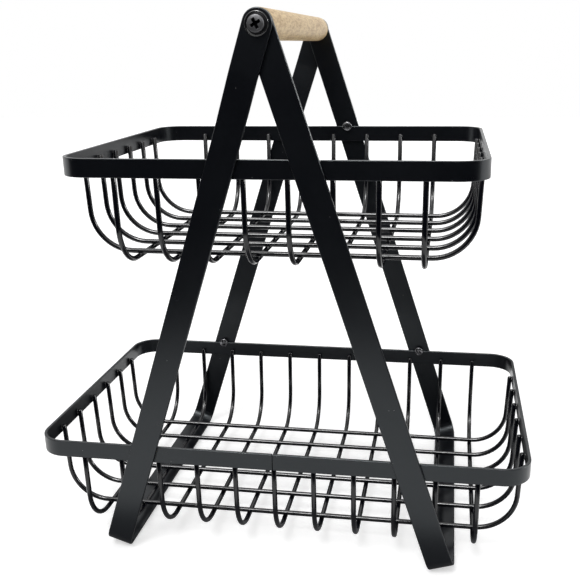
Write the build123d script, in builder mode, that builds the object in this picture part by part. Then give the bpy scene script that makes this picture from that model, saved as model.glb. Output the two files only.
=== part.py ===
from build123d import *
from math import cos, radians, sin, tan
import os

# Two-tier wire basket: an A-shaped stand of two bent flat bars, a wooden grip across its top and
# two wire baskets hung between the legs. Millimetres, +Z up, the front faces -Y.

# Stand
bar_width = 20.0              # flat bar of the leg frames
bar_thick = 3.0
pivot_height = 403.0          # grip axis above the floor
lean = 18.2                   # degrees from upright, each frame to its own side
foot_radius = 9.0             # inside radius where a leg bends into its runner
crank_radius = 60.0           # inside radius of the outer frame's gentle steps
crank_length = 40.0           # over which the outer frame steps in to the baskets
crank_gap = 3.0               # between the crossing of the legs and the start of that step

# Baskets
basket_width = 244.0          # outside, from front to rear
upper_length = 305.0          # outside, from left to right
lower_length = 388.0
upper_drop = 86.5             # from the grip axis down to the upper rim's top edge
floor_gap = 12.0              # from the floor up to the lower basket
rim_height = 13.6
rim_thick = 2.5
rim_radius = 22.0             # outside corner radius of the rims
wire_dia = 4.0
wire_bend = 32.0              # centre line radius at the wires' bottom corners
wire_taper = 2.5              # how far a wire leans in between the rim and the basket's bottom
basket_depth = 80.0           # from the rim's top edge to the centre of the cross wires
weld_overlap = 6.5            # length of wire end that lies against the rim
upper_cross_count = 8
upper_cross_margin = 42.6     # from the rim's end to the first cross wire
lower_cross_count = 11
lower_cross_margin = 39.0
long_count = 6
long_margin = 43.0            # from the rim's front to the first lengthwise wire

# Grip and its fasteners
grip_dia = 20.5
grip_edge = 1.2
grip_screw_dia = 5.0
grip_screw_length = 32.0      # under the head
grip_head_dia = 11.2
grip_head_height = 3.0
grip_head_edge = 1.4
recess_width = 1.7            # cross recess in the head
recess_span = 6.4
recess_depth = 1.6
recess_turn = 28.0            # degrees
washer_dia = 15.9
washer_thick = 1.4
washer_edge = 0.6

# Screws that hold the rims to the legs
rim_screw_dia = 4.0
rim_head_dia = 8.4
rim_head_height = 2.4
rim_head_edge = 1.0
leg_skin = 0.8                # metal left outside a blind tapped hole

# Fits
seat_clearance = 0.05         # between flat faces that are clamped together
weld_clearance = 0.03         # between a wire and what it is welded to
thread_clearance = 0.1        # on the radius of a threaded hole, and past a screw's tip
bore_clearance = 0.25         # on the radius of a clearance hole
overrun = 1.0                 # how far a cutter passes the face it leaves

lean_radians = radians(lean)
upper_top = pivot_height - upper_drop
lower_top = floor_gap + wire_dia / 2 + basket_depth
leg_length = (pivot_height - bar_width / 2 * sin(lean_radians)) / cos(lean_radians)
inner_face = basket_width / 2 + seat_clearance
middle_face = inner_face + bar_thick + seat_clearance
outer_face = middle_face + bar_thick
crank_start = bar_width / 2 / tan(lean_radians) + crank_gap
tapped_reach = inner_face + bar_thick - leg_skin
washer_seat = outer_face + seat_clearance
head_seat = washer_seat + washer_thick + seat_clearance

os.makedirs("parts", exist_ok=True)


def save(part, name):
    part.label = name
    export_step(part, f"parts/{name}.step")


def screw_offset(top):
    """Distance of a leg's middle from the middle of the stand at a rim's top edge."""
    return (pivot_height - top) * tan(lean_radians)


def leg_route(outer):
    """Inside line of one frame across its thickness, with the radius of each of its corners."""
    foot = (inner_face, bar_thick - leg_length)
    if outer:
        top_y = middle_face
        cranks = [(middle_face, -crank_start), (inner_face, -crank_start - crank_length)]
    else:
        top_y = inner_face
        cranks = []
    rear = [(top_y, bar_width / 2)] + cranks + [foot]
    front = [(-y, z) for y, z in reversed(rear)]
    crank_radii = [crank_radius] * len(cranks)
    return rear + front, crank_radii + [foot_radius, foot_radius] + crank_radii


def leg_frame(side, outer):
    """One U of flat bar: leg, runner and leg, round at both tops and bored for its screws."""
    across = Vector(cos(lean_radians), 0, side * sin(lean_radians))
    axis = (0, 0, pivot_height)
    section = Plane(origin=axis, x_dir=(0, 1, 0), z_dir=across)
    face = Plane(origin=axis, x_dir=across, z_dir=(0, -1, 0))
    points, radii = leg_route(outer)
    with BuildPart() as frame:
        with BuildSketch(section):
            with BuildLine():
                FilletPolyline(*points, radius=radii)
                offset(amount=bar_thick, side=Side.LEFT)
            make_face()
        extrude(amount=bar_width / 2, both=True)
        with BuildSketch(face):
            Circle(bar_width / 2)
            with Locations((0, -leg_length / 2)):
                Rectangle(bar_width, leg_length)
        extrude(amount=outer_face + overrun, both=True, mode=Mode.INTERSECT)
        with BuildSketch(face):
            Circle(grip_screw_dia / 2 + bore_clearance)
        extrude(amount=outer_face + overrun, both=True, mode=Mode.SUBTRACT)
        with BuildSketch(face):
            for top in (upper_top, lower_top):
                with Locations((0, (top - pivot_height) / cos(lean_radians))):
                    Circle(rim_screw_dia / 2 + thread_clearance)
        extrude(amount=tapped_reach, both=True, mode=Mode.SUBTRACT)
    return frame.part


def rim(length, top):
    """Flat band on edge, bent to a rounded rectangle, with a notch for each screw."""
    with BuildPart() as band:
        with BuildSketch(Plane.XY.offset(top - rim_height)):
            RectangleRounded(length, basket_width, rim_radius)
            RectangleRounded(length - 2 * rim_thick, basket_width - 2 * rim_thick,
                             rim_radius - rim_thick, mode=Mode.SUBTRACT)
        extrude(amount=rim_height)
        with BuildSketch(Plane.XZ):
            with Locations((-screw_offset(top), top), (screw_offset(top), top)):
                Circle(rim_screw_dia / 2 + bore_clearance)
        extrude(amount=basket_width / 2 + overrun, both=True, mode=Mode.SUBTRACT)
    return band.part


def bent_wire(plane, half_width, low, high):
    """Round wire bent to a flat-bottomed U that narrows a little from its ends to its bottom."""
    half_bottom = half_width - wire_taper
    with BuildPart() as wire:
        with BuildLine(plane) as route:
            FilletPolyline((-half_width, high), (-half_bottom, low), (half_bottom, low),
                           (half_width, high), radius=wire_bend)
        with BuildSketch(Plane(origin=route.wire() @ 0, z_dir=route.wire() % 0)):
            Circle(wire_dia / 2)
        sweep()
    return wire.part


def wire_positions(span, margin, count):
    """Evenly spaced places of a basket's wires across its span, from one margin to the other."""
    pitch = (span - 2 * margin) / (count - 1)
    return [margin - span / 2 + index * pitch for index in range(count)]


def basket_wires(tier, length, top, cross_count, cross_margin):
    """The lengthwise wires of one basket, and the cross wires that carry them from below."""
    inset = rim_thick + weld_clearance + wire_dia / 2
    high = top - rim_height + weld_overlap
    cross_low = top - basket_depth
    long_low = cross_low + wire_dia + weld_clearance
    for number, y in enumerate(wire_positions(basket_width, long_margin, long_count), start=1):
        plane = Plane(origin=(0, y, 0), x_dir=(1, 0, 0), z_dir=(0, -1, 0))
        save(bent_wire(plane, length / 2 - inset, long_low, high), f"{tier}_long_wire_{number}")
    for number, x in enumerate(wire_positions(length, cross_margin, cross_count), start=1):
        plane = Plane(origin=(x, 0, 0), x_dir=(0, 1, 0), z_dir=(1, 0, 0))
        save(bent_wire(plane, basket_width / 2 - inset, cross_low, high), f"{tier}_cross_wire_{number}")


def pan_screw(seat, head_dia, head_height, head_edge, shank_dia, shank_length):
    """Pan head on the seat plane's outer side, shank on the other."""
    with BuildPart() as screw:
        with BuildSketch(seat):
            Circle(head_dia / 2)
        extrude(amount=head_height)
        fillet(screw.faces().sort_by(Axis(seat.origin, seat.z_dir))[-1].edges(), radius=head_edge)
        with BuildSketch(seat):
            Circle(shank_dia / 2)
        extrude(amount=-shank_length)
    return screw.part


def rim_screws(top):
    """Four screws of one basket, heads inside, shanks through the rim's notches into the legs."""
    seat_y = basket_width / 2 - rim_thick - seat_clearance
    with BuildPart() as screws:
        for x in (-screw_offset(top), screw_offset(top)):
            for end in (-1, 1):
                seat = Plane(origin=(x, end * seat_y, top), z_dir=(0, -end, 0))
                shank = tapped_reach - thread_clearance - seat_y
                add(pan_screw(seat, rim_head_dia, rim_head_height, rim_head_edge, rim_screw_dia, shank))
    return screws.part


def grip_screw(end):
    """Cross-recessed screw that goes through both frames into one end of the grip."""
    seat = Plane(origin=(0, end * head_seat, pivot_height), x_dir=(1, 0, 0), z_dir=(0, end, 0))
    with BuildPart() as screw:
        add(pan_screw(seat, grip_head_dia, grip_head_height, grip_head_edge,
                      grip_screw_dia, grip_screw_length))
        with BuildSketch(seat.offset(grip_head_height)):
            Rectangle(recess_span, recess_width, rotation=recess_turn)
            Rectangle(recess_width, recess_span, rotation=recess_turn)
        extrude(amount=-recess_depth, mode=Mode.SUBTRACT)
    return screw.part


def grip_washer(end):
    """Black ring under the head of a grip screw, with a rolled outer edge."""
    seat = Plane(origin=(0, end * washer_seat, pivot_height), z_dir=(0, end, 0))
    with BuildPart() as washer:
        with BuildSketch(seat):
            Circle(washer_dia / 2)
        extrude(amount=washer_thick)
        fillet(washer.faces().sort_by(Axis(seat.origin, seat.z_dir))[-1].edges(), radius=washer_edge)
        with BuildSketch(seat):
            Circle(grip_screw_dia / 2 + bore_clearance)
        extrude(amount=washer_thick, mode=Mode.SUBTRACT)
    return washer.part


save(leg_frame(side=-1, outer=True), "left_leg_frame")
save(leg_frame(side=1, outer=False), "right_leg_frame")

with BuildPart() as wooden_grip:
    grip_half = basket_width / 2
    screw_depth = grip_screw_length - (head_seat - grip_half) + thread_clearance
    with BuildSketch(Plane(origin=(0, 0, pivot_height), z_dir=(0, 1, 0))):
        Circle(grip_dia / 2)
    extrude(amount=grip_half, both=True)
    fillet(wooden_grip.edges().filter_by(GeomType.CIRCLE), radius=grip_edge)
    for end in (-1, 1):
        with BuildSketch(Plane(origin=(0, end * grip_half, pivot_height), z_dir=(0, -end, 0))):
            Circle(grip_screw_dia / 2 + thread_clearance)
        extrude(amount=screw_depth, mode=Mode.SUBTRACT)
save(wooden_grip.part, "wooden_grip")

for end, place in ((-1, "front"), (1, "rear")):
    save(grip_screw(end), f"{place}_grip_screw")
    save(grip_washer(end), f"{place}_grip_washer")

tiers = (("upper", upper_length, upper_top, upper_cross_count, upper_cross_margin),
         ("lower", lower_length, lower_top, lower_cross_count, lower_cross_margin))
for tier, length, top, cross_count, cross_margin in tiers:
    save(rim(length, top), f"{tier}_rim")
    basket_wires(tier, length, top, cross_count, cross_margin)
    save(rim_screws(top), f"{tier}_basket_screws")
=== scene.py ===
# Studio scene of a two-tier wire basket. Sizes are metres, +Z up, the front faces -Y.
from math import atan2, ceil, cos, pi, radians, sin, tan

import bmesh
import bpy
from bpy.props import FloatProperty, FloatVectorProperty, PointerProperty
from mathutils import Matrix, Vector


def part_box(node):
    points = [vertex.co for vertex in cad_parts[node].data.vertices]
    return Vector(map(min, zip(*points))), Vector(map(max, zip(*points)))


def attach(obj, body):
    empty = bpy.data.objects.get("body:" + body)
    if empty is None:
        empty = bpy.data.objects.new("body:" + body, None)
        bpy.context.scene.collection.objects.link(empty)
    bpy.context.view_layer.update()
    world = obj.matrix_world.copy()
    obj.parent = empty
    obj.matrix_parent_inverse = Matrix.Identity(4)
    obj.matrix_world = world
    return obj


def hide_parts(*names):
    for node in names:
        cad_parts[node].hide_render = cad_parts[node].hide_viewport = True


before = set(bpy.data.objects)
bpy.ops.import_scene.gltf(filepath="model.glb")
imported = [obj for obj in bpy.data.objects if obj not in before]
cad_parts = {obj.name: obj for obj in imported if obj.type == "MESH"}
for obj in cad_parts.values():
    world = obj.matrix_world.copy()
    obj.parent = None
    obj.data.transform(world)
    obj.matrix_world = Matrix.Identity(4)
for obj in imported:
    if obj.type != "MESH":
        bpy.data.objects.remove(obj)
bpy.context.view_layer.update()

bl_info = {
    "name": "Two-Tier Wire Basket",
    "version": (1, 0, 0),
    "blender": (4, 5, 0),
    "location": "3D View > Sidebar > Basket",
    "description": "Builds a two-tier wire basket with a wooden grip and its studio",
    "category": "Add Mesh",
}

PHOTO_WIDTH = 580           # pixels, and as many high
MM = 0.001
TURNED_SIDES = 64           # sides of the turned grip and washers
ARC_STEP = radians(7.5)     # most that a bend turns between two of its points
MIX_A, MIX_B, MIX_OUT = 6, 7, 2     # colour sockets of a Mix node
WELD_MARK = "weld"          # mesh attribute, 1 on the weld beads, for their lumps and painted sheen
RECESS_SHADE_MARK = "recess"      # mesh attribute, 1 inside the screws' crosses, where the grip screws get painted shade

# Name, direction of the source, its width in degrees, strength, and whether only the gloss shows it
LAMPS = (("key_light", (-0.2, -0.6, 1.0), 25, 1.05, False),
         ("key_gloss", (-0.15, -0.65, 1.0), 16, 2.0, True),
         ("tent_gloss", (-0.15, -0.5, 1.0), 60, 1.3, True),
         ("top_light", (-0.3, 0.5, 1.0), 30, 0.2, False),
         ("side_light", (1.0, 0.1, 0.35), 12, 0.25, False),
         ("side_gloss", (1.0, 0.1, 0.35), 12, 0.9, True))


def box_size(node):
    low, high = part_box(node)
    return Vector(high) - Vector(low)


def box_centre(node):
    low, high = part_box(node)
    return (Vector(high) + Vector(low)) / 2


def length(name, description, default):
    return FloatProperty(name=name, description=description, default=default, min=0.0,
                         unit="LENGTH", subtype="DISTANCE", precision=5)


def colour(name, description, default):
    return FloatVectorProperty(name=name, description=description, default=default,
                               size=3, min=0.0, max=1.0, subtype="COLOR")


def share(name, description, default):
    return FloatProperty(name=name, description=description, default=default,
                         min=0.0, max=1.0, subtype="FACTOR")


class StandSizes(bpy.types.PropertyGroup):
    bar_width: length("Bar width", "Width of the flat bar", 20 * MM)
    bar_thick: length("Bar thickness", "Thickness of the flat bar", 3 * MM)
    bar_edge: length("Bar edge", "Rounding of the flat bar's long edges", 0.8 * MM)
    lean: FloatProperty(name="Lean", description="Angle of each frame from upright",
                        default=radians(18.2), subtype="ANGLE")
    foot_radius: length("Foot radius", "Inside radius where a leg bends into its runner", 9 * MM)
    crank_radius: length("Crank radius", "Radius of the outer frame's gentle steps", 60 * MM)
    crank_length: length("Crank length", "Length over which the outer frame steps in", 40 * MM)
    crank_gap: length("Crank gap", "From the crossing of the legs to that step", 3 * MM)


class BasketSizes(bpy.types.PropertyGroup):
    rim_thick: length("Rim thickness", "Thickness of the band round each basket", 2.5 * MM)
    rim_radius: length("Rim corner", "Outside corner radius of the bands", 22 * MM)
    rim_edge: length("Rim edge", "Rounding of the bands' edges", 0.5 * MM)
    wire_bend: length("Wire bend", "Centre line radius at the wires' bottom corners", 32 * MM)
    wire_taper: length("Wire taper", "How far a wire leans in on its way down", 2.5 * MM)
    wire_end: length("Wire end", "Rounding of the cut ends of the wires", 0.5 * MM)
    notch_radius: length("Screw notch", "Radius of the screws' notches in the bands", 2.25 * MM)
    seam_gap: length("Seam gap", "Gap in each band's butt seam", 0.25 * MM)
    upper_seam: length("Upper seam", "From the middle to the upper band's seam", 39 * MM)
    lower_seam: length("Lower seam", "From the middle to the lower band's seam", 0.0)
    weld_width: length("Weld width", "Half width of the weld beads at the wires' ends", 1.9 * MM)
    weld_height: length("Weld height", "Half height of those beads", 2.6 * MM)
    weld_depth: length("Weld depth", "How far those beads stand out from the band", 1.6 * MM)


class GripSizes(bpy.types.PropertyGroup):
    edge: length("Grip edge", "Rounding at the ends of the wooden grip", 1.2 * MM)


class ScrewSizes(bpy.types.PropertyGroup):
    head_height: length("Head height", "Height of the grip screws' pan heads", 3 * MM)
    recess_width: length("Recess width", "Width of the cross recess at the head's face", 2.0 * MM)
    recess_span: length("Recess span", "Length of the cross recess at the head's face", 6.8 * MM)
    recess_depth: length("Recess depth", "Depth of the cross recess", 2.8 * MM)
    recess_turn: FloatProperty(name="Recess turn", description="Turn of the front screw's cross",
                               default=radians(28), subtype="ANGLE")
    washer_edge: length("Washer edge", "Rounding of the washers' outer edge", 0.6 * MM)
    rim_head_dia: length("Rim screw head", "Diameter of the rim screws' heads", 8.4 * MM)
    rim_head_height: length("Rim screw head height", "Height of the rim screws' heads", 2.4 * MM)


class Finishes(bpy.types.PropertyGroup):
    coat_colour: colour("Coat", "Black powder coat", (0.0018, 0.0022, 0.0042))
    coat_speck: colour("Coat specks", "Dust specks on the coat", (0.25, 0.25, 0.25))
    coat_gloss: colour("Coat gloss", "Tint of the coat's reflections", (0.9, 0.97, 1.0))
    coat_roughness: share("Coat roughness", "Roughness of the powder coat", 0.28)
    wire_roughness: share("Wire roughness", "Roughness of the coat on the wires", 0.16)
    # The weld colour is lighter than the coat: painted sheen on the beads.
    weld_sheen_colour: colour("Weld", "Coat on the weld beads", (0.012, 0.012, 0.014))
    wood_colour: colour("Wood", "Pale dowel", (0.85, 0.65, 0.37))
    wood_dark: colour("Wood grain", "Darker pores of the grain", (0.46, 0.27, 0.11))
    wood_roughness: share("Wood roughness", "Roughness of the dowel", 0.48)
    screw_colour: colour("Screw", "Plated screws", (0.125, 0.125, 0.13))
    rim_screw_colour: colour("Rim screw", "Black screws that hold the bands", (0.22, 0.22, 0.23))
    # The recess colour is painted shade: a near-black tone for the shadow inside the grip screws'
    # crosses.
    recess_shade_colour: colour("Recess", "Shadowed steel inside the cross", (0.004, 0.004, 0.0045))
    washer_colour: colour("Washer", "Black washers", (0.008, 0.008, 0.009))


class StudioSettings(bpy.types.PropertyGroup):
    camera_place: FloatVectorProperty(name="Camera place", description="Where the camera stands",
                                      default=(0.12433, -0.67791, 0.38990), subtype="TRANSLATION",
                                      unit="LENGTH", size=3)
    camera_turn: FloatProperty(name="Camera turn", description="Turn to the left from straight ahead",
                               default=radians(9.835), subtype="ANGLE")
    camera_dip: FloatProperty(name="Camera dip", description="Tilt below the horizon",
                              default=radians(18.807), subtype="ANGLE")
    camera_roll: FloatProperty(name="Camera roll", description="Roll about the line of sight",
                               default=radians(-0.89), subtype="ANGLE")
    focal_pixels: FloatProperty(name="Focal length", description="Focal length in photo pixels",
                                default=831.42)
    middle_x: FloatProperty(name="Middle across", description="Pixel column of the line of sight",
                            default=306.10)
    middle_y: FloatProperty(name="Middle down", description="Pixel row of the line of sight",
                            default=327.63)
    floor_colour: colour("Floor", "Pale floor", (0.84, 0.84, 0.84))
    floor_lift: share("Floor lift", "White that the floor adds to what the eye sees of it", 0.5)
    room_light: FloatProperty(name="Room light", description="Strength of the even light",
                              default=0.55, min=0.0)
    wall_colour: colour("Wall", "Dark curved walls that only the gloss shows", (0.01, 0.01, 0.012))
    wall_radius: length("Wall radius", "From the middle of the stand to the front wall", 0.58)
    wall_height: length("Wall height", "Height of the front wall", 0.52)
    back_radius: length("Back wall radius", "From the middle of the stand to the back wall", 0.5)
    back_height: length("Back wall height", "Height of the back wall", 0.23)
    wall_sweep: FloatProperty(name="Wall sweep", description="Angle that each wall covers",
                              default=radians(150), subtype="ANGLE")
    shade_colour: colour("Floor shade", "Floor under the stand as the gloss shows it", (0.3, 0.3, 0.31))
    shade_width: length("Floor shade width", "Width of that patch", 0.42)
    shade_length: length("Floor shade length", "From front to back of that patch", 0.36)


class WireBasket(bpy.types.PropertyGroup):
    stand: PointerProperty(type=StandSizes, name="Stand", description="Sizes of the leg frames")
    basket: PointerProperty(type=BasketSizes, name="Baskets", description="Sizes of the baskets")
    grip: PointerProperty(type=GripSizes, name="Grip", description="Sizes of the wooden grip")
    screw: PointerProperty(type=ScrewSizes, name="Screws", description="Sizes of the fasteners")
    finish: PointerProperty(type=Finishes, name="Finishes", description="Colours of the finishes")
    studio: PointerProperty(type=StudioSettings, name="Studio", description="Camera and light")


def settings():
    """The scene's own sizes and finishes."""
    return bpy.context.scene.wire_basket


# Shader helpers

def shader_node(tree, kind, **values):
    """One node; values are its properties, or, by socket name with spaces as underscores, its inputs."""
    made = tree.nodes.new(kind)
    for name, value in values.items():
        if hasattr(made, name):
            setattr(made, name, value)
        else:
            made.inputs[name.replace("_", " ")].default_value = value
    return made


def colour_mix(tree, first, second):
    """Mix of two colours; its factor is the share of the second one."""
    mix = shader_node(tree, "ShaderNodeMix", data_type="RGBA")
    mix.inputs[MIX_A].default_value = (*first, 1.0)
    mix.inputs[MIX_B].default_value = (*second, 1.0)
    return mix


def speckle_group():
    """Fine orange peel of a powder coat with a few pale dust specks."""
    name = "Powder surface"
    speck_reach, rare_above = 0.06, 0.93
    if name in bpy.data.node_groups:
        return bpy.data.node_groups[name]
    group = bpy.data.node_groups.new(name, "ShaderNodeTree")
    ports = group.interface
    ports.new_socket("Peel size", in_out="INPUT", socket_type="NodeSocketFloat").default_value = 900.0
    ports.new_socket("Speck size", in_out="INPUT", socket_type="NodeSocketFloat").default_value = 260.0
    ports.new_socket("Height", in_out="OUTPUT", socket_type="NodeSocketFloat")
    ports.new_socket("Specks", in_out="OUTPUT", socket_type="NodeSocketFloat")
    ports.new_socket("Cloud", in_out="OUTPUT", socket_type="NodeSocketFloat")
    inside = shader_node(group, "NodeGroupInput")
    outside = shader_node(group, "NodeGroupOutput")
    place = shader_node(group, "ShaderNodeTexCoord")
    peel = shader_node(group, "ShaderNodeTexNoise", Detail=3.0, Roughness=0.55)
    specks = shader_node(group, "ShaderNodeTexVoronoi", feature="F1")
    lone = shader_node(group, "ShaderNodeMath", operation="LESS_THAN")
    lone.inputs[1].default_value = speck_reach
    rare = shader_node(group, "ShaderNodeMath", operation="GREATER_THAN")
    rare.inputs[1].default_value = rare_above
    both = shader_node(group, "ShaderNodeMath", operation="MULTIPLY")
    cloud = shader_node(group, "ShaderNodeTexNoise", Scale=22.0, Detail=4.0, Roughness=0.6)
    link = group.links.new
    for texture in (peel, specks, cloud):
        link(place.outputs["Object"], texture.inputs["Vector"])
    link(inside.outputs["Peel size"], peel.inputs["Scale"])
    link(inside.outputs["Speck size"], specks.inputs["Scale"])
    link(specks.outputs["Distance"], lone.inputs[0])
    split = shader_node(group, "ShaderNodeSeparateColor")
    link(specks.outputs["Color"], split.inputs["Color"])
    link(split.outputs["Red"], rare.inputs[0])
    link(lone.outputs[0], both.inputs[0])
    link(rare.outputs[0], both.inputs[1])
    link(peel.outputs["Fac"], outside.inputs["Height"])
    link(both.outputs[0], outside.inputs["Specks"])
    link(cloud.outputs["Fac"], outside.inputs["Cloud"])
    return group


def new_material(name):
    """A material with its node tree and its shader."""
    material = bpy.data.materials.new(name)
    material.use_nodes = True
    tree = material.node_tree
    return material, tree, tree.nodes["Principled BSDF"]


def cloudy_roughness(tree, shader, surface, smooth, dull):
    """Lets the roughness drift between two values with the clouds of the powder surface."""
    spread = shader_node(tree, "ShaderNodeMapRange", To_Min=smooth, To_Max=dull)
    tree.links.new(surface.outputs["Cloud"], spread.inputs["Value"])
    tree.links.new(spread.outputs[0], shader.inputs["Roughness"])


def coat_material():
    """Semi-gloss black powder coat."""
    finish = settings().finish
    material, tree, shader = new_material("Black powder coat")
    smoother, duller = 0.05, 0.08
    surface = shader_node(tree, "ShaderNodeGroup", node_tree=speckle_group())
    tint = colour_mix(tree, finish.coat_colour, finish.coat_speck)
    bump = shader_node(tree, "ShaderNodeBump", Strength=0.12, Distance=0.2 * MM)
    shader.inputs["Specular Tint"].default_value = (*finish.coat_gloss, 1.0)
    cloudy_roughness(tree, shader, surface, finish.coat_roughness - smoother,
                     finish.coat_roughness + duller)
    link = tree.links.new
    link(surface.outputs["Specks"], tint.inputs[0])
    link(tint.outputs[MIX_OUT], shader.inputs["Base Color"])
    link(surface.outputs["Height"], bump.inputs["Height"])
    link(bump.outputs["Normal"], shader.inputs["Normal"])
    return material


def wire_material():
    """The same coat, smoother, on wire; the weld beads at its ends are lumpy, and a lighter colour
    paints a sheen on them.
    """
    finish = settings().finish
    material, tree, shader = new_material("Black coated wire")
    weld = shader_node(tree, "ShaderNodeAttribute", attribute_name=WELD_MARK)
    place = shader_node(tree, "ShaderNodeTexCoord")
    lumps = shader_node(tree, "ShaderNodeTexNoise", Scale=700.0, Detail=2.0)
    height = shader_node(tree, "ShaderNodeMath", operation="MULTIPLY")
    bump = shader_node(tree, "ShaderNodeBump", Strength=0.9, Distance=0.6 * MM)
    tint = colour_mix(tree, finish.coat_colour, finish.weld_sheen_colour)
    shader.inputs["Roughness"].default_value = finish.wire_roughness
    link = tree.links.new
    link(place.outputs["Object"], lumps.inputs["Vector"])
    link(lumps.outputs["Fac"], height.inputs[0])
    link(weld.outputs["Fac"], height.inputs[1])
    link(height.outputs[0], bump.inputs["Height"])
    link(bump.outputs["Normal"], shader.inputs["Normal"])
    # Painted sheen: the beads get the lighter weld colour.
    link(weld.outputs["Fac"], tint.inputs[0])
    link(tint.outputs[MIX_OUT], shader.inputs["Base Color"])
    return material


def wood_material():
    """Pale dowel of close-grained wood: short flecks along its length over soft clouds of tone."""
    finish = settings().finish
    material, tree, shader = new_material("Grip wood")
    fleck_share, cloud_share = 0.55, 0.5
    place = shader_node(tree, "ShaderNodeTexCoord")
    stretch = shader_node(tree, "ShaderNodeMapping", Scale=(1.0, 0.22, 1.0))
    flecks = shader_node(tree, "ShaderNodeTexNoise", Scale=620.0, Detail=4.0, Roughness=0.7)
    clouds = shader_node(tree, "ShaderNodeTexNoise", Scale=150.0, Detail=5.0, Roughness=0.65)
    sharpened = shader_node(tree, "ShaderNodeMapRange", From_Min=0.4, From_Max=0.56)
    softened = shader_node(tree, "ShaderNodeMapRange", From_Min=0.3, From_Max=0.65)
    blend = shader_node(tree, "ShaderNodeMath", operation="MULTIPLY_ADD")
    blend.inputs[1].default_value = fleck_share
    partly = shader_node(tree, "ShaderNodeMath", operation="MULTIPLY")
    partly.inputs[1].default_value = cloud_share
    tint = colour_mix(tree, finish.wood_dark, finish.wood_colour)
    bump = shader_node(tree, "ShaderNodeBump", Strength=0.2, Distance=0.2 * MM)
    shader.inputs["Roughness"].default_value = finish.wood_roughness
    link = tree.links.new
    link(place.outputs["Object"], stretch.inputs["Vector"])
    for texture, spread in ((flecks, sharpened), (clouds, softened)):
        link(stretch.outputs["Vector"], texture.inputs["Vector"])
        link(texture.outputs["Fac"], spread.inputs["Value"])
    link(softened.outputs[0], partly.inputs[0])
    link(sharpened.outputs[0], blend.inputs[0])
    link(partly.outputs[0], blend.inputs[2])
    link(blend.outputs[0], tint.inputs[0])
    link(tint.outputs[MIX_OUT], shader.inputs["Base Color"])
    link(flecks.outputs["Fac"], bump.inputs["Height"])
    link(bump.outputs["Normal"], shader.inputs["Normal"])
    return material


def screw_material(name, tone, recess_shade_tone, smooth, dull):
    """Plated steel with a soft mottle, and painted shade in another tone inside the cross."""
    material, tree, shader = new_material(name)
    depth = 0.5
    surface = shader_node(tree, "ShaderNodeGroup", node_tree=speckle_group())
    mottle = colour_mix(tree, [part * (1 - depth) for part in tone],
                        [part * (1 + depth) for part in tone])
    recess = shader_node(tree, "ShaderNodeAttribute", attribute_name=RECESS_SHADE_MARK)
    # Painted shade: the recess tone darkens the inside of the cross.
    tint = colour_mix(tree, tone, recess_shade_tone)
    shader.inputs["Metallic"].default_value = 1.0
    cloudy_roughness(tree, shader, surface, smooth, dull)
    link = tree.links.new
    link(surface.outputs["Cloud"], mottle.inputs[0])
    link(recess.outputs["Fac"], tint.inputs[0])
    link(mottle.outputs[MIX_OUT], tint.inputs[MIX_A])
    link(tint.outputs[MIX_OUT], shader.inputs["Base Color"])
    return material


def plated_screw():
    """Dull plated steel of the grip screws, with painted shade inside their crosses."""
    finish = settings().finish
    return screw_material("Plated screw", finish.screw_colour, finish.recess_shade_colour,
                          smooth=0.35, dull=0.55)


def black_screw():
    """Black oxide of the small screws, with a shine."""
    tone = settings().finish.rim_screw_colour
    return screw_material("Black screw", tone, tone, smooth=0.15, dull=0.3)


def washer_material():
    """Glossy black washer."""
    material, tree, shader = new_material("Black washer")
    surface = shader_node(tree, "ShaderNodeGroup", node_tree=speckle_group())
    shader.inputs["Specular IOR Level"].default_value = 1.0
    shader.inputs["Base Color"].default_value = (*settings().finish.washer_colour, 1.0)
    cloudy_roughness(tree, shader, surface, smooth=0.08, dull=0.18)
    return material


MATERIAL_MAKERS = {"black_steel": coat_material, "black_wire": wire_material, "grip_wood": wood_material,
                   "screw_steel": plated_screw, "black_screw": black_screw,
                   "washer_black": washer_material}


def finish_material(finish):
    """The material of one finish, made the first time that it is asked for."""
    key = f"{finish}_finish"
    if key not in bpy.data.materials:
        made = MATERIAL_MAKERS[finish]()
        made.name = key
    return bpy.data.materials[key]


# Mesh helpers

def rounded_route(corners, radii):
    """(point, direction) pairs along a route; only its two ends have no radius."""
    route = []
    for index, (corner, radius) in enumerate(zip(corners, radii)):
        if not radius:
            neighbour = corners[1] if index == 0 else corners[index - 1]
            heading = (neighbour - corner) if index == 0 else (corner - neighbour)
            route.append((corner, heading.normalized()))
            continue
        arriving = (corner - corners[index - 1]).normalized()
        leaving = (corners[index + 1] - corner).normalized()
        turn = arriving.angle(leaving)
        axis = arriving.cross(leaving).normalized()
        start = corner - arriving * radius * tan(turn / 2)
        spoke = arriving.cross(axis) * radius
        centre = start - spoke
        steps = max(2, ceil(turn / ARC_STEP))
        for step in range(steps + 1):
            swing = Matrix.Rotation(turn * step / steps, 3, axis)
            route.append((centre + swing @ spoke, swing @ arriving))
    return route


def linked_object(name, shape, material):
    """Object in the scene from a bmesh, which is freed, with one material."""
    mesh = bpy.data.meshes.new(name)
    shape.to_mesh(mesh)
    shape.free()
    mesh.materials.append(material)
    made = bpy.data.objects.new(name, mesh)
    bpy.context.scene.collection.objects.link(made)
    return made


def new_piece(name, shape, slot, finish=None):
    """Object that rides on the root in place of the CAD node of the same name."""
    piece = linked_object(name, shape, finish_material(finish or slot))
    for face in piece.data.polygons:
        face.use_smooth = True
    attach(piece, "root")
    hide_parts(name)
    return piece


def soften_edges(piece, radius):
    """Small round on every sharp edge, with the flats kept flat in the shading."""
    bevel = piece.modifiers.new("Soft edges", "BEVEL")
    bevel.width = radius
    bevel.segments = 3
    bevel.limit_method = "ANGLE"
    bevel.angle_limit = radians(35)
    bevel.harden_normals = True


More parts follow.
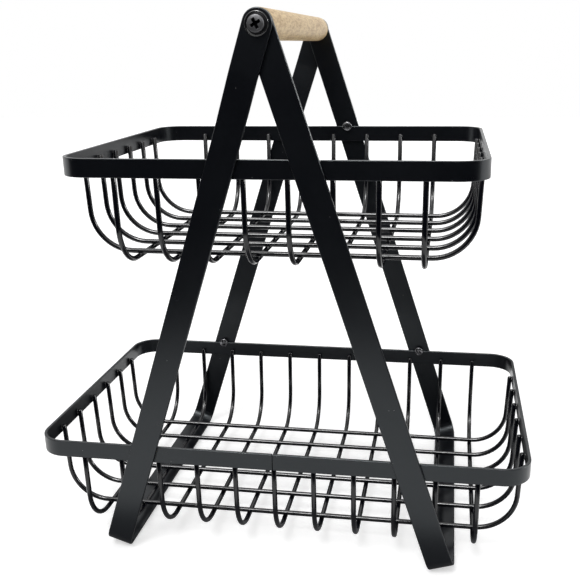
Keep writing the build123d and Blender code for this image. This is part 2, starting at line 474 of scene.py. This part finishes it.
def join_rings(mesh, rings):
    """Quads between rings of as many points; a ring of one point closes an end."""
    for near, far in zip(rings, rings[1:]):
        sides = max(len(near), len(far))
        for side in range(sides):
            after = (side + 1) % sides
            corners = [near[side % len(near)], near[after % len(near)],
                       far[after % len(far)], far[side % len(far)]]
            mesh.faces.new(list(dict.fromkeys(corners)))


def band(stations, thick, across):
    """Flat band from stations of (inside point, outward direction, low and high edge along across)."""
    in_plane = radians(0.3)
    mesh = bmesh.new()
    rings = []
    for point, outward, low, high in stations:
        far_side = point + outward * thick
        places = [point + across * low, point + across * high,
                  far_side + across * high, far_side + across * low]
        rings.append([mesh.verts.new(place) for place in places])
    join_rings(mesh, rings)
    mesh.faces.new(rings[0])
    mesh.faces.new(rings[-1])
    bmesh.ops.recalc_face_normals(mesh, faces=mesh.faces)
    bmesh.ops.dissolve_limit(mesh, angle_limit=in_plane, verts=mesh.verts, edges=mesh.edges)
    return mesh


def even_angles(sides):
    """Angles of a regular polygon's corners."""
    return [2 * pi * side / sides for side in range(sides)]


def tube(route, radius, end_round, sides=14):
    """Round wire along a route that lies in one plane."""
    least_turn = 0.001
    mesh = bmesh.new()
    turns = (near[1].cross(far[1]) for near, far in zip(route, route[1:]))
    flat = next(turn for turn in turns if turn.length > least_turn).normalized()
    first, last = route[0], route[-1]
    trimmed = ([(first[0], first[1], radius - end_round),
                (first[0] + first[1] * end_round, first[1], radius)]
               + [(point, heading, radius) for point, heading in route[1:-1]]
               + [(last[0] - last[1] * end_round, last[1], radius),
                  (last[0], last[1], radius - end_round)])
    rings = []
    for point, heading, size in trimmed:
        side_way = heading.cross(flat)
        rings.append([mesh.verts.new(point + (flat * cos(angle) + side_way * sin(angle)) * size)
                      for angle in even_angles(sides)])
    join_rings(mesh, rings)
    mesh.faces.new(rings[0])
    mesh.faces.new(rings[-1])
    bmesh.ops.recalc_face_normals(mesh, faces=mesh.faces)
    return mesh


def lathe(mesh, profile, centre, axis, angles, across=None):
    """Turned piece; the profile's (distance along the axis, radius) pairs may have a radius by angle."""
    across = across or axis.orthogonal().normalized()
    other = axis.cross(across)
    rings = []
    for reach, radius in profile:
        middle = centre + axis * reach
        if not radius:
            rings.append([mesh.verts.new(middle)])
            continue
        wide = radius if callable(radius) else lambda angle, radius=radius: radius
        rings.append([mesh.verts.new(middle + (across * cos(angle) + other * sin(angle)) * wide(angle))
                      for angle in angles])
    join_rings(mesh, rings)
    bmesh.ops.recalc_face_normals(mesh, faces=mesh.faces)
    return mesh


def rounded_corner(reach, radius, edge, steps=6):
    """Profile points of a rounded edge that ends a turned piece at reach, from its side to its face."""
    return [(reach - edge * (1 - sin(turn)), radius - edge * (1 - cos(turn)))
            for turn in (pi / 2 * step / steps for step in range(steps + 1))]


# Stand

def leg_corners(outer):
    """Corners of the frame's inside line, (outward from the middle, up along the leg), with radii."""
    stand = settings().stand
    inner_y = box_size("right_leg_frame").y / 2 - stand.bar_thick
    middle_y = box_size("left_leg_frame").y / 2 - stand.bar_thick
    pivot = box_centre("wooden_grip").z
    leg = (pivot - stand.bar_width / 2 * sin(stand.lean)) / cos(stand.lean)
    crank_start = stand.bar_width / 2 / tan(stand.lean) + stand.crank_gap
    foot = (inner_y, stand.bar_thick - leg)
    rear = [(inner_y, stand.bar_width / 2)]
    radii = [0]
    if outer:
        rear = [(middle_y, stand.bar_width / 2), (middle_y, -crank_start),
                (inner_y, -crank_start - stand.crank_length)]
        radii = [0, stand.crank_radius, stand.crank_radius]
    rear.append(foot)
    radii.append(stand.foot_radius)
    front = [(-y, z) for y, z in reversed(rear)]
    return rear + front, radii + radii[::-1]


def leg_stations(route, across, width):
    """Stations of a band with round ends; each tip is one flat step, so that the bevel has room."""
    top_steps = 10
    reach = width / 2
    first, last = route[0], route[-1]
    turns = [pi / 2 * (step + 0.5) / (top_steps + 0.5) for step in range(top_steps + 1)]
    ends = [0] + [reach * (1 - cos(turn)) for turn in turns[1:]]
    halves = [reach * tan(turns[0])] + [reach * sin(turn) for turn in turns[1:]]
    places = [(first[0] + first[1] * end, first[1], half) for end, half in zip(ends, halves)]
    places += [(point, heading, reach) for point, heading in route[1:-1]]
    places += [(last[0] - last[1] * end, last[1], half) for end, half in zip(ends[::-1], halves[::-1])]
    return [(point, heading.cross(across), -half, half) for point, heading, half in places]


def leg_frame(name, side, outer):
    """One U of flat bar: leg, runner and leg, with round tops."""
    stand = settings().stand
    across = Vector((cos(stand.lean), 0, side * sin(stand.lean)))
    upward = Vector((-side * sin(stand.lean), 0, cos(stand.lean)))
    pivot = Vector((0, 0, box_centre("wooden_grip").z))
    corners, radii = leg_corners(outer)
    corners = [pivot + Vector((0, y, 0)) + upward * z for y, z in corners]
    route = rounded_route(corners, radii)
    stations = leg_stations(route, across, stand.bar_width)
    middle = Vector((0, 0, pivot.z / 2))
    if (stations[0][0] - middle).dot(stations[0][1]) < 0:
        stations = [(point, -outward, low, high) for point, outward, low, high in stations]
    piece = new_piece(name, band(stations, stand.bar_thick, across), "black_steel")
    soften_edges(piece, stand.bar_edge)
    return piece


class BASKET_OT_leg_frames(bpy.types.Operator):
    """Build the two leg frames"""
    bl_idname = "basket.leg_frames"
    bl_label = "Leg Frames"

    def execute(self, context):
        leg_frame("left_leg_frame", -1, outer=True)
        leg_frame("right_leg_frame", 1, outer=False)
        return {"FINISHED"}


# Baskets

def rim_route(node, seam):
    """Inside line of one rim, from its seam at the front round to it again."""
    basket = settings().basket
    low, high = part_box(node)
    right = high[0] - basket.rim_thick
    rear = high[1] - basket.rim_thick
    left, front = -right, -rear
    radius = basket.rim_radius - basket.rim_thick
    half_gap = basket.seam_gap / 2
    corners = [(seam + half_gap, front), (right, front), (right, rear), (left, rear), (left, front),
               (seam - half_gap, front)]
    corners = [Vector((x, y, low[2])) for x, y in corners]
    return rounded_route(corners, [0, radius, radius, radius, radius, 0])


def with_notches(route, height):
    """Adds the screws' half-round notches to the top edge of a rim's route."""
    stand = settings().stand
    basket = settings().basket
    top = route[0][0].z + height
    reach = (box_centre("wooden_grip").z - top) * tan(stand.lean)
    steps = 12
    stations = []
    for (near, near_way), (far, _) in zip(route, route[1:] + route[:1]):
        stations.append((near, near_way, height))
        run = far - near
        way = 1 if run.x > 0 else -1
        if abs(run.x) < reach / 2:
            continue
        for x in (-reach * way, reach * way):
            if not min(near.x, far.x) < x < max(near.x, far.x):
                continue
            for step in range(steps + 1):
                angle = pi * step / steps
                offset = -cos(angle) * basket.notch_radius * way
                place = Vector((x + offset, near.y, near.z))
                stations.append((place, near_way, height - sin(angle) * basket.notch_radius))
    return stations


class BASKET_OT_rims(bpy.types.Operator):
    """Build the bands round the two baskets"""
    bl_idname = "basket.rims"
    bl_label = "Rims"

    def execute(self, context):
        basket = settings().basket
        up = Vector((0, 0, 1))
        for tier, seam in (("upper", basket.upper_seam), ("lower", basket.lower_seam)):
            name = f"{tier}_rim"
            route = with_notches(rim_route(name, seam), box_size(name).z)
            stations = [(point, heading.cross(up), 0, high) for point, heading, high in route]
            piece = new_piece(name, band(stations, basket.rim_thick, up), "black_steel")
            soften_edges(piece, basket.rim_edge)
        return {"FINISHED"}


def wire_nodes(kind):
    """Names of the wires of one kind, in both baskets."""
    return sorted(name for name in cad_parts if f"_{kind}_wire_" in name)


def weld_bead(mesh, place, inward, half_sizes):
    """Small lump of weld; half_sizes are along the band, out from it and upward."""
    wide, deep, high = half_sizes
    up = Vector((0, 0, 1))
    along = inward.cross(up)
    # The weld mark carries the beads' lumps and their painted sheen.
    mark = mesh.verts.layers.float.get(WELD_MARK) or mesh.verts.layers.float.new(WELD_MARK)
    made = bmesh.ops.create_icosphere(mesh, subdivisions=3, radius=1.0)
    for vert in made["verts"]:
        x, y, z = vert.co
        vert.co = place + along * x * wide + inward * y * deep + up * z * high
        vert[mark] = 1.0


def bent_wire(name):
    """Flat-bottomed U of round wire, as long, deep and high as its CAD box."""
    basket = settings().basket
    low, high = (Vector(corner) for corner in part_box(name))
    size = high - low
    radius = min(size.x, size.y) / 2
    along = Vector((1, 0, 0)) if size.x > size.y else Vector((0, 1, 0))
    middle = (low + high) / 2
    half = along * (max(size.x, size.y) / 2 - radius)
    half_bottom = half - along * basket.wire_taper
    top = Vector((0, 0, high.z - middle.z))
    bottom = Vector((0, 0, low.z + radius - middle.z))
    corners = (top - half, bottom - half_bottom, bottom + half_bottom, top + half)
    corners = [middle + place for place in corners]
    route = rounded_route(corners, [0, basket.wire_bend, basket.wire_bend, 0])
    mesh = tube(route, radius, basket.wire_end)
    beads = (basket.weld_width, basket.weld_depth, basket.weld_height)
    for end, inward in ((-1, along), (1, -along)):
        tip = middle + top + half * end
        weld_bead(mesh, tip - inward * radius - Vector((0, 0, basket.weld_height)), inward, beads)
    return new_piece(name, mesh, "black_steel", "black_wire")


class BASKET_OT_long_wires(bpy.types.Operator):
    """Build the lengthwise wires of both baskets"""
    bl_idname = "basket.long_wires"
    bl_label = "Long Wires"

    def execute(self, context):
        for name in wire_nodes("long"):
            bent_wire(name)
        return {"FINISHED"}


class BASKET_OT_cross_wires(bpy.types.Operator):
    """Build the cross wires of both baskets"""
    bl_idname = "basket.cross_wires"
    bl_label = "Cross Wires"

    def execute(self, context):
        for name in wire_nodes("cross"):
            bent_wire(name)
        return {"FINISHED"}


# Grip and fasteners

class BASKET_OT_grip(bpy.types.Operator):
    """Build the wooden grip"""
    bl_idname = "basket.grip"
    bl_label = "Grip"

    def execute(self, context):
        size = box_size("wooden_grip")
        half, radius = size.y / 2, size.x / 2
        corner = rounded_corner(half, radius, settings().grip.edge)
        profile = [(-reach, wide) for reach, wide in reversed(corner)] + corner
        profile = [(-half, 0)] + profile + [(half, 0)]
        mesh = lathe(bmesh.new(), profile, box_centre("wooden_grip"), Vector((0, 1, 0)),
                     even_angles(TURNED_SIDES))
        new_piece("wooden_grip", mesh, "grip_wood")
        return {"FINISHED"}


def cross_radius(half_width, half_span):
    """Distance from the middle of a cross to its outline, by angle."""
    def reach(angle):
        turn = (angle + pi / 4) % (pi / 2) - pi / 4
        side = abs(sin(turn)) * half_span
        if side > half_width * cos(turn):
            return half_width / abs(sin(turn))
        return half_span / cos(turn)
    return reach


def cross_angles(half_width, half_span):
    """Angles that meet every corner of a cross, with a few between them."""
    steps = 4
    arm = atan2(half_width, half_span)
    eighth = [0, arm / 2, arm] + [arm + (pi / 4 - arm) * step / steps for step in range(1, steps + 1)]
    quarter = eighth + [pi / 2 - angle for angle in reversed(eighth[1:-1])]
    return [angle + pi / 2 * turn for turn in range(4) for angle in quarter]


def pan_screw(mesh, seat, axis, head_radius, head_height, shank_radius, shank_length, turn):
    """Pan head with a tapered cross recess, and its shank."""
    screw = settings().screw
    scale = head_radius / (box_size("front_grip_screw").x / 2)
    half_width = screw.recess_width / 2 * scale
    half_span = screw.recess_span / 2 * scale
    depth = screw.recess_depth * scale
    crown = 0.1 * head_height
    edge = 0.3 * head_height
    inner = head_radius - edge
    underside_radius, underside_height = 0.97 * head_radius, 0.04 * head_height
    shoulder_radius, shoulder_drop = 0.9 * inner, 0.4 * crown
    lip_growth, lip_depth = 1.09, 0.08 * depth
    floor_width, floor_span, lowest = 0.8, 0.7, 1.05 * depth
    shade_mark_depth, shade_mark_radius = 0.05 * depth, 0.88 * inner  # what lies deeper and nearer is the recess, for its painted shade
    mouth = cross_radius(half_width, half_span)
    floor = cross_radius(half_width * floor_width, half_span * floor_span)
    profile = [(-shank_length, 0), (-shank_length, shank_radius), (0, shank_radius),
               (0, underside_radius), (underside_height, head_radius)]
    profile += rounded_corner(head_height - crown, head_radius, edge)
    profile += [(head_height - shoulder_drop, shoulder_radius),
                (head_height, lambda angle: mouth(angle) * lip_growth),
                (head_height - lip_depth, mouth),
                (head_height - depth, floor),
                (head_height - lowest, 0)]
    level = Vector((0, 0, 1)).cross(axis)
    across = Matrix.Rotation(turn, 3, axis) @ level
    lathe(mesh, profile, seat, axis, cross_angles(half_width, half_span), across)
    # Marks the recess, which gets painted shade.
    mark = mesh.verts.layers.float.get(RECESS_SHADE_MARK) or mesh.verts.layers.float.new(RECESS_SHADE_MARK)
    for vert in mesh.verts:
        height = (vert.co - seat).dot(axis)
        reach = (vert.co - seat - axis * height).length
        if 0 < height < head_height - shade_mark_depth and reach < shade_mark_radius:
            vert[mark] = 1.0


def washer(name, away):
    """Black ring with a rolled outer edge and a slight hollow under the screw's head."""
    low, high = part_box(name)
    outer = (high[0] - low[0]) / 2
    thick = high[1] - low[1]
    axis = Vector((0, away, 0))
    seat = box_centre(name) - axis * thick / 2
    bore = box_size("front_grip_screw").x / 4
    mouth = (0.5 * thick, bore)
    foot_radius, foot_height = 0.96 * outer, 0.2 * thick
    roll_end = (0.78 * thick, 0.86 * outer)
    hollow = (0.7 * thick, 0.6 * outer)
    profile = [mouth, (0, bore), (0, foot_radius), (foot_height, outer)]
    profile += rounded_corner(thick, outer, settings().screw.washer_edge)
    profile += [roll_end, hollow, mouth]
    mesh = lathe(bmesh.new(), profile, seat, axis, even_angles(TURNED_SIDES))
    bmesh.ops.remove_doubles(mesh, verts=mesh.verts, dist=MM / 1000)  # the profile ends where it began
    return new_piece(name, mesh, "washer_black")


def grip_screw(name, away):
    """Screw through the frames into one end of the grip."""
    screw = settings().screw
    shank_radius, edge = 2.5 * MM, 0.12 * MM
    size = box_size(name)
    axis = Vector((0, away, 0))
    seat = box_centre(name) + axis * (size.y / 2 - screw.head_height)
    mesh = bmesh.new()
    pan_screw(mesh, seat, axis, size.x / 2, screw.head_height, shank_radius,
              size.y - screw.head_height, screw.recess_turn * -away)
    piece = new_piece(name, mesh, "screw_steel")
    soften_edges(piece, edge)
    return piece


def basket_screws(name):
    """The four screws of one basket, heads inside the rim, each cross at another angle."""
    screw = settings().screw
    shank_radius, edge = 2 * MM, 0.1 * MM
    low, high = (Vector(corner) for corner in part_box(name))
    head = screw.rim_head_dia / 2
    inset = settings().basket.rim_thick
    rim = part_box(name.replace("basket_screws", "rim"))
    places = [(x, end) for x in (low.x + head, high.x - head) for end in (-1, 1)]
    mesh = bmesh.new()
    for (x, end), degrees in zip(places, (5, 35, 40, 70)):
        seat = Vector((x, end * (rim[1][1] - inset), (low.z + high.z) / 2))
        shank = high.y - seat.y * end
        pan_screw(mesh, seat, Vector((0, -end, 0)), head, screw.rim_head_height, shank_radius, shank,
                  radians(degrees))
    piece = new_piece(name, mesh, "screw_steel", "black_screw")
    soften_edges(piece, edge)
    return piece


class BASKET_OT_fasteners(bpy.types.Operator):
    """Build the screws and washers"""
    bl_idname = "basket.fasteners"
    bl_label = "Fasteners"

    def execute(self, context):
        for place, away in (("front", -1), ("rear", 1)):
            grip_screw(f"{place}_grip_screw", away)
            washer(f"{place}_grip_washer", away)
        for tier in ("upper", "lower"):
            basket_screws(f"{tier}_basket_screws")
        return {"FINISHED"}


# Studio

def seen_mask(tree):
    """1 for rays that the eye follows, straight or by way of a reflection or glass, else 0."""
    rays = shader_node(tree, "ShaderNodeLightPath")
    mirrored = shader_node(tree, "ShaderNodeMath", operation="MAXIMUM")
    seen = shader_node(tree, "ShaderNodeMath", operation="MAXIMUM")
    tree.links.new(rays.outputs["Is Camera Ray"], mirrored.inputs[0])
    tree.links.new(rays.outputs["Is Glossy Ray"], mirrored.inputs[1])
    tree.links.new(mirrored.outputs[0], seen.inputs[0])
    tree.links.new(rays.outputs["Is Transmission Ray"], seen.inputs[1])
    return seen.outputs[0]


def floor_material():
    """Pale floor that reads white to the eye and keeps the shadows."""
    studio = settings().studio
    material, tree, shader = new_material("Studio floor")
    shader.inputs["Base Color"].default_value = (*studio.floor_colour, 1.0)
    shader.inputs["Roughness"].default_value = 0.6
    shader.inputs["Specular IOR Level"].default_value = 0.1
    shader.inputs["Emission Color"].default_value = (1.0, 1.0, 1.0, 1.0)
    lift = shader_node(tree, "ShaderNodeMath", operation="MULTIPLY")
    lift.inputs[1].default_value = studio.floor_lift
    tree.links.new(seen_mask(tree), lift.inputs[0])
    tree.links.new(lift.outputs[0], shader.inputs["Emission Strength"])
    return material


def room_world():
    """White to the eye and in reflections, an even grey for the light that it gives."""
    world = bpy.data.worlds.new("Studio room")
    world.use_nodes = True
    tree = world.node_tree
    background = tree.nodes["Background"]
    strength = shader_node(tree, "ShaderNodeMapRange", To_Min=settings().studio.room_light, To_Max=1.0)
    background.inputs["Color"].default_value = (1.0, 1.0, 1.0, 1.0)
    tree.links.new(seen_mask(tree), strength.inputs["Value"])
    tree.links.new(strength.outputs[0], background.inputs["Strength"])
    bpy.context.scene.world = world


def soft_light(name, source, width, strength, only_gloss):
    """Even light from a patch of the room in the direction of source, for the gloss alone if so told."""
    data = bpy.data.lights.new(name, "SUN")
    data.angle = width
    data.energy = strength
    light = bpy.data.objects.new(name, data)
    light.rotation_euler = Vector(source).to_track_quat("Z", "Y").to_euler()
    light.visible_diffuse = not only_gloss
    bpy.context.scene.collection.objects.link(light)


def gloss_only(name, shape, tone):
    """Matt stage piece that shows in nothing but reflections."""
    material, _, shader = new_material(name)
    shader.inputs["Base Color"].default_value = (*tone, 1.0)
    shader.inputs["Roughness"].default_value = 1.0
    shader.inputs["Specular IOR Level"].default_value = 0.0
    piece = linked_object(name, shape, material)
    for ray in ("camera", "diffuse", "shadow", "transmission"):
        setattr(piece, f"visible_{ray}", False)
    return piece


def dark_wall(name, heading, radius, height):
    """Curved wall round the stand, its middle in the direction of heading."""
    studio = settings().studio
    wall = bmesh.new()
    steps = 24
    columns = []
    for step in range(steps + 1):
        angle = heading + studio.wall_sweep * (step / steps - 0.5)
        place = (cos(angle) * radius, sin(angle) * radius)
        columns.append((wall.verts.new((*place, 0)), wall.verts.new((*place, height))))
    for (near_foot, near_top), (far_foot, far_top) in zip(columns, columns[1:]):
        wall.faces.new((near_foot, far_foot, far_top, near_top))
    gloss_only(name, wall, studio.wall_colour)


def dark_room():
    """Dark walls before and behind the stand, and the shaded floor under it."""
    studio = settings().studio
    half_unit, lift = 0.5, 0.2 * MM
    dark_wall("front_wall", -pi / 2, studio.wall_radius, studio.wall_height)
    dark_wall("back_wall", pi / 2, studio.back_radius, studio.back_height)
    shade = bmesh.new()
    bmesh.ops.create_grid(shade, x_segments=1, y_segments=1, size=half_unit)
    patch = gloss_only("floor_shade", shade, studio.shade_colour)
    patch.scale = (studio.shade_width, studio.shade_length, 1.0)
    patch.location.z = lift


def photo_camera():
    """Camera at the photograph's place, with its framing."""
    studio = settings().studio
    turn, dip, roll = studio.camera_turn, studio.camera_dip, studio.camera_roll
    forward = Vector((-sin(turn) * cos(dip), cos(turn) * cos(dip), -sin(dip)))
    level = forward.cross(Vector((0, 0, 1))).normalized()
    rise = level.cross(forward)
    right = level * cos(roll) + rise * sin(roll)
    up = rise * cos(roll) - level * sin(roll)
    data = bpy.data.cameras.new("Photo camera")
    data.sensor_fit = "HORIZONTAL"
    data.lens = data.sensor_width * studio.focal_pixels / PHOTO_WIDTH
    data.shift_x = 0.5 - studio.middle_x / PHOTO_WIDTH
    data.shift_y = studio.middle_y / PHOTO_WIDTH - 0.5
    camera = bpy.data.objects.new("Photo camera", data)
    aim = Matrix((right, up, -forward)).transposed().to_4x4()
    camera.matrix_world = Matrix.Translation(studio.camera_place) @ aim
    bpy.context.scene.collection.objects.link(camera)
    bpy.context.scene.camera = camera


class BASKET_OT_stage(bpy.types.Operator):
    """Build the floor, the light and the camera"""
    bl_idname = "basket.stage"
    bl_label = "Stage"

    def execute(self, context):
        reach = 4.0
        grid = bmesh.new()
        bmesh.ops.create_grid(grid, x_segments=1, y_segments=1, size=reach)
        floor = linked_object("floor", grid, floor_material())
        room_world()
        for name, source, width, strength, only_gloss in LAMPS:
            soft_light(name, source, radians(width), strength, only_gloss)
        dark_room()
        photo_camera()
        context.scene.view_settings.view_transform = "Standard"
        return {"FINISHED"}


STEPS = (BASKET_OT_stage, BASKET_OT_leg_frames, BASKET_OT_rims, BASKET_OT_long_wires,
         BASKET_OT_cross_wires, BASKET_OT_grip, BASKET_OT_fasteners)
GROUPS = (StandSizes, BasketSizes, GripSizes, ScrewSizes, Finishes, StudioSettings, WireBasket)


class BASKET_PT_pieces(bpy.types.Panel):
    """Lists the steps that build the basket"""
    bl_idname = "BASKET_PT_pieces"
    bl_label = "Wire Basket"
    bl_space_type = "VIEW_3D"
    bl_region_type = "UI"
    bl_category = "Basket"

    def draw(self, context):
        for step in STEPS:
            self.layout.operator(step.bl_idname)


def register():
    for group in GROUPS + STEPS + (BASKET_PT_pieces,):
        bpy.utils.register_class(group)
    bpy.types.Scene.wire_basket = PointerProperty(type=WireBasket, name="Wire basket",
                                                  description="Sizes and finishes of the basket")


def unregister():
    del bpy.types.Scene.wire_basket
    for group in reversed(GROUPS + STEPS + (BASKET_PT_pieces,)):
        bpy.utils.unregister_class(group)


def main():
    register()
    for step in STEPS:
        family, action = step.bl_idname.split(".")
        getattr(getattr(bpy.ops, family), action)()


if __name__ == "__main__":
    main()
